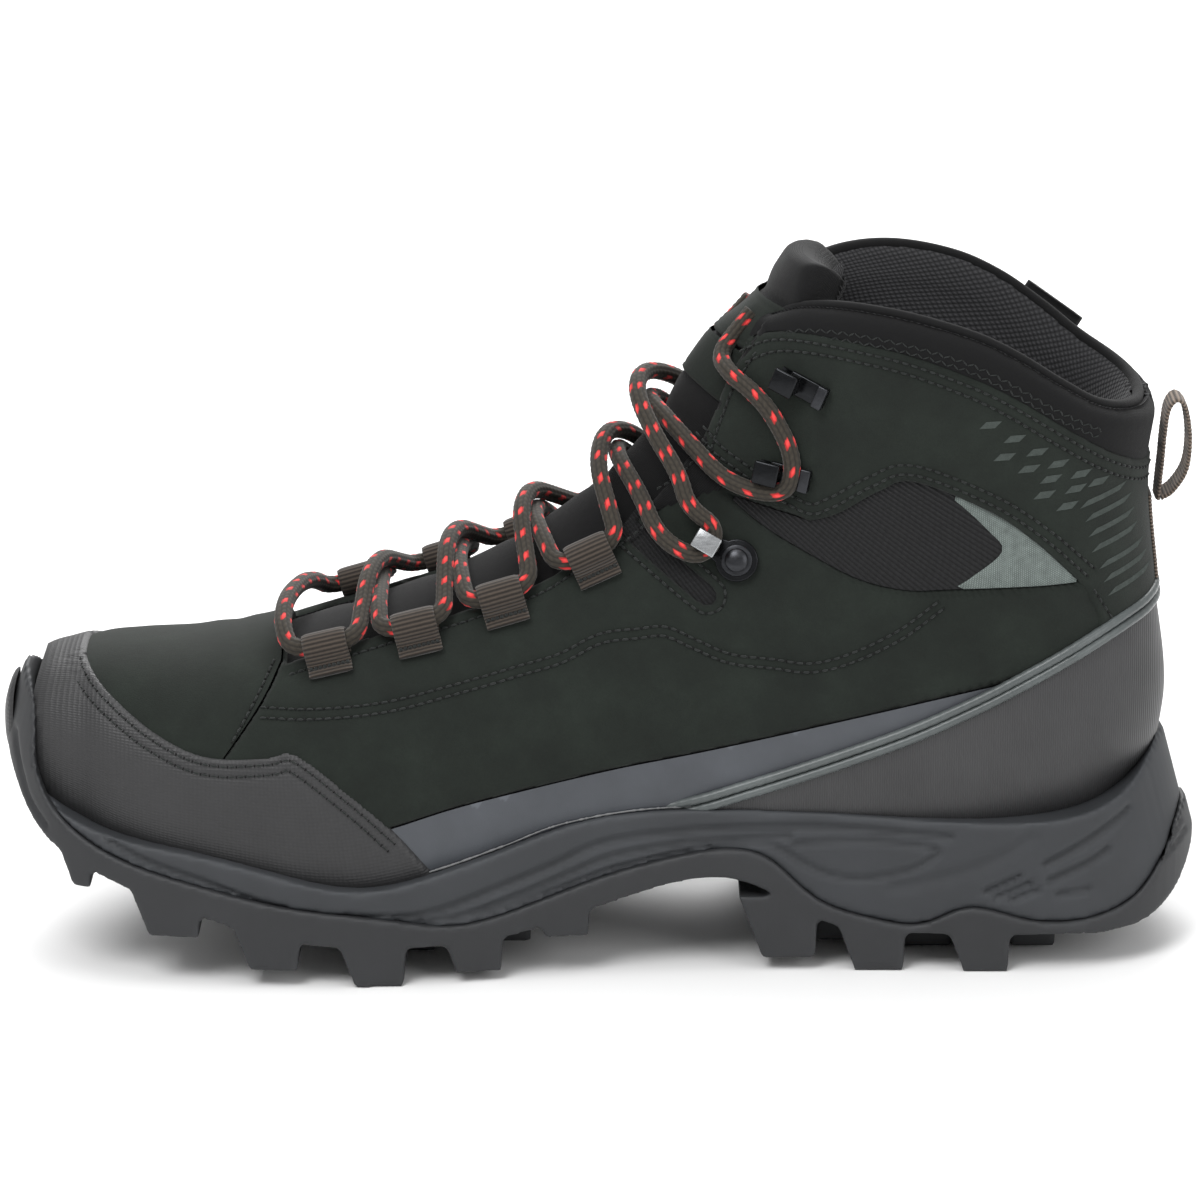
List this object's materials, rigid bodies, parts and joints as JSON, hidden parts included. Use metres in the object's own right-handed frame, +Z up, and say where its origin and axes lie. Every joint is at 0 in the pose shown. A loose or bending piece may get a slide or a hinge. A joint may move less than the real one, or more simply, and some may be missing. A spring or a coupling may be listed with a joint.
{
  "type": "hiking boot",
  "caption": "Right-foot lace-up hiking boot: lugged outsole, sculpted midsole, leather upper with rubbery toe cap, padded collar and tongue, lace through webbing loops and hooks.",
  "frame": {"origin": "on the ground, under the middle of the boot's box", "axes": "+X from toe to heel, -Y the medial (inner) side, +Z up"},
  "size_m": [0.3001, 0.1107, 0.1771],
  "materials": {
    "coated_leather": "satin, finely embossed",
    "nubuck": "matte, brushed nap",
    "grey_synthetic": "matte, micro-grained",
    "softshell": "matte stretch weave",
    "ribbed_textile": "ribbed weave",
    "reflective_film": "grey-green retroreflective film",
    "stiffener_board": "pressed board",
    "foam": "open-cell foam",
    "lining_mesh": "coarse spacer mesh",
    "sole_rubber": "matte, lightly grained",
    "midsole_foam": "matte moulded foam",
    "spring_steel": "brushed",
    "footbed_foam": "cloth-covered foam",
    "webbing": "ribbed webbing",
    "dark_metal": "gloss black enamel",
    "bright_metal": "polished",
    "lace_cord": "braided, with flecks of red yarn",
    "suede": "suede",
    "piping": "glossy moulded piping",
    "tag_film": "matte"
  },
  "bodies": {
    "boot": {"toe_cap": "coated_leather", "heel_counter_cover": "coated_leather", "vamp": "nubuck", "quarter_medial": "nubuck", "quarter_lateral": "nubuck", "ankle_overlay_medial": "nubuck", "ankle_overlay_lateral": "nubuck", "mudguard_medial": "grey_synthetic", "mudguard_lateral": "grey_synthetic", "collar_band": "softshell", "tongue_cover": "softshell", "tongue_gusset_medial": "softshell", "tongue_gusset_lateral": "softshell", "ankle_textile_medial": "ribbed_textile", "ankle_textile_lateral": "ribbed_textile", "reflective_crescent_medial": "reflective_film", "reflective_crescent_lateral": "reflective_film", "toe_puff": "stiffener_board", "heel_stiffener": "stiffener_board", "insole_board": "stiffener_board", "foam_backing_medial": "foam", "foam_backing_lateral": "foam", "collar_padding_medial": "foam", "collar_padding_lateral": "foam", "tongue_padding": "foam", "bottom_filler": "foam", "vamp_lining": "lining_mesh", "heel_lining": "lining_mesh", "quarter_lining_medial": "lining_mesh", "quarter_lining_lateral": "lining_mesh", "collar_lining_medial": "lining_mesh", "collar_lining_lateral": "lining_mesh", "tongue_lining": "lining_mesh", "outsole": "sole_rubber", "midsole": "midsole_foam", "shank": "spring_steel", "lace_loops_medial": "webbing", "lace_loops_lateral": "webbing", "heel_strap": "webbing", "ankle_hook_medial": "dark_metal", "ankle_hook_lateral": "dark_metal", "speed_hook_medial_1": "dark_metal", "speed_hook_medial_2": "dark_metal", "speed_hook_lateral_1": "dark_metal", "speed_hook_lateral_2": "dark_metal", "ankle_rivet_medial": "bright_metal", "ankle_rivet_lateral": "bright_metal", "lace": "lace_cord", "tongue_patch": "suede", "heel_piping_upper": "piping", "heel_piping_lower": "piping", "side_tag": "tag_film"},
    "footbed": {"footbed": "footbed_foam"},
    "tongue_top": {"tongue_cover_top": "softshell", "tongue_padding_top": "foam", "tongue_lining_top": "lining_mesh", "tongue_patch_top": "suede"},
    "pull_loop": {"heel_pull_loop": "webbing"}
  },
  "joints": [
    {"name": "footbed_lift", "type": "hinge", "parent": "boot", "child": "footbed", "pos_m": [-0.13, -0.01, 0.04], "axis": [0, -1, 0], "range_deg": [0, 8]},
    {"name": "tongue_top_flex", "type": "hinge", "parent": "boot", "child": "tongue_top", "pos_m": [0.0285, -0.0026, 0.1557], "axis": [0, -1, 0], "range_deg": [0, 8]},
    {"name": "pull_loop_swing", "type": "hinge", "parent": "boot", "child": "pull_loop", "pos_m": [0.1386, -0.0026, 0.1126], "axis": [0, 1, 0], "range_deg": [0, 70]}
  ]
}
